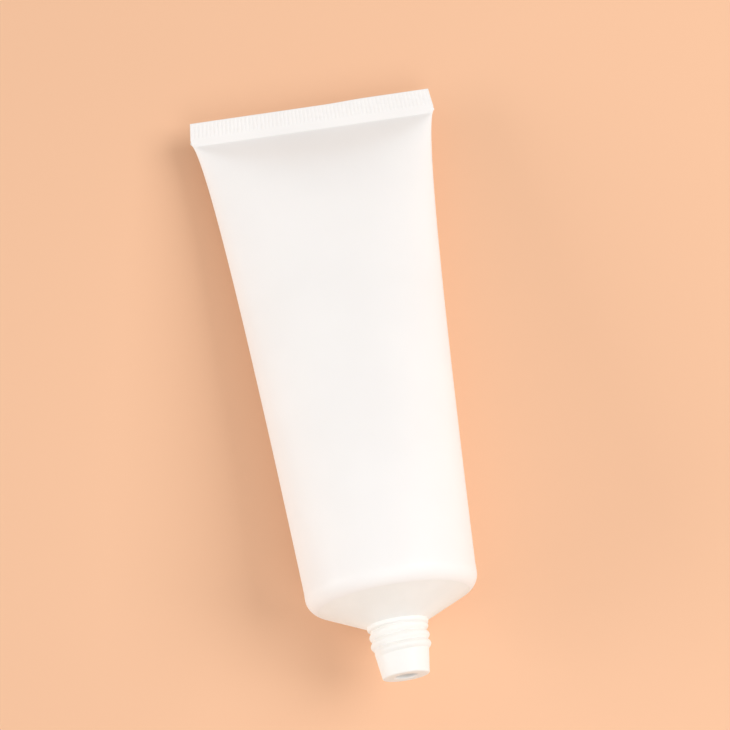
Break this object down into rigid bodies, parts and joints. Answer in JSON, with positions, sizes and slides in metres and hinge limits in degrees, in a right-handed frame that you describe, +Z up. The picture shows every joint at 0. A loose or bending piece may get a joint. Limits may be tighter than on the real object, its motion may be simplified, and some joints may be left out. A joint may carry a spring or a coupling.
{
  "type": "cosmetic squeeze tube",
  "caption": "Soft plastic squeeze tube for cream, lying with its cap off: a sleeve flattened to a ribbed heat seal, and a conical shoulder with a threaded neck and a pouring hole.",
  "frame": {"origin": "middle of the bounding box, on the surface that the belly lies on", "axes": "+Z up, the nozzle points to -Y and the seal to +Y, and +X runs along the seal"},
  "size_m": [0.0626, 0.1474, 0.0401],
  "materials": {
    "sleeve_plastic": "satin white polyethylene film",
    "head_plastic": "satin white moulded polyethylene"
  },
  "bodies": {
    "root": {"sleeve": "sleeve_plastic", "head": "head_plastic"}
  },
  "joints": []
}
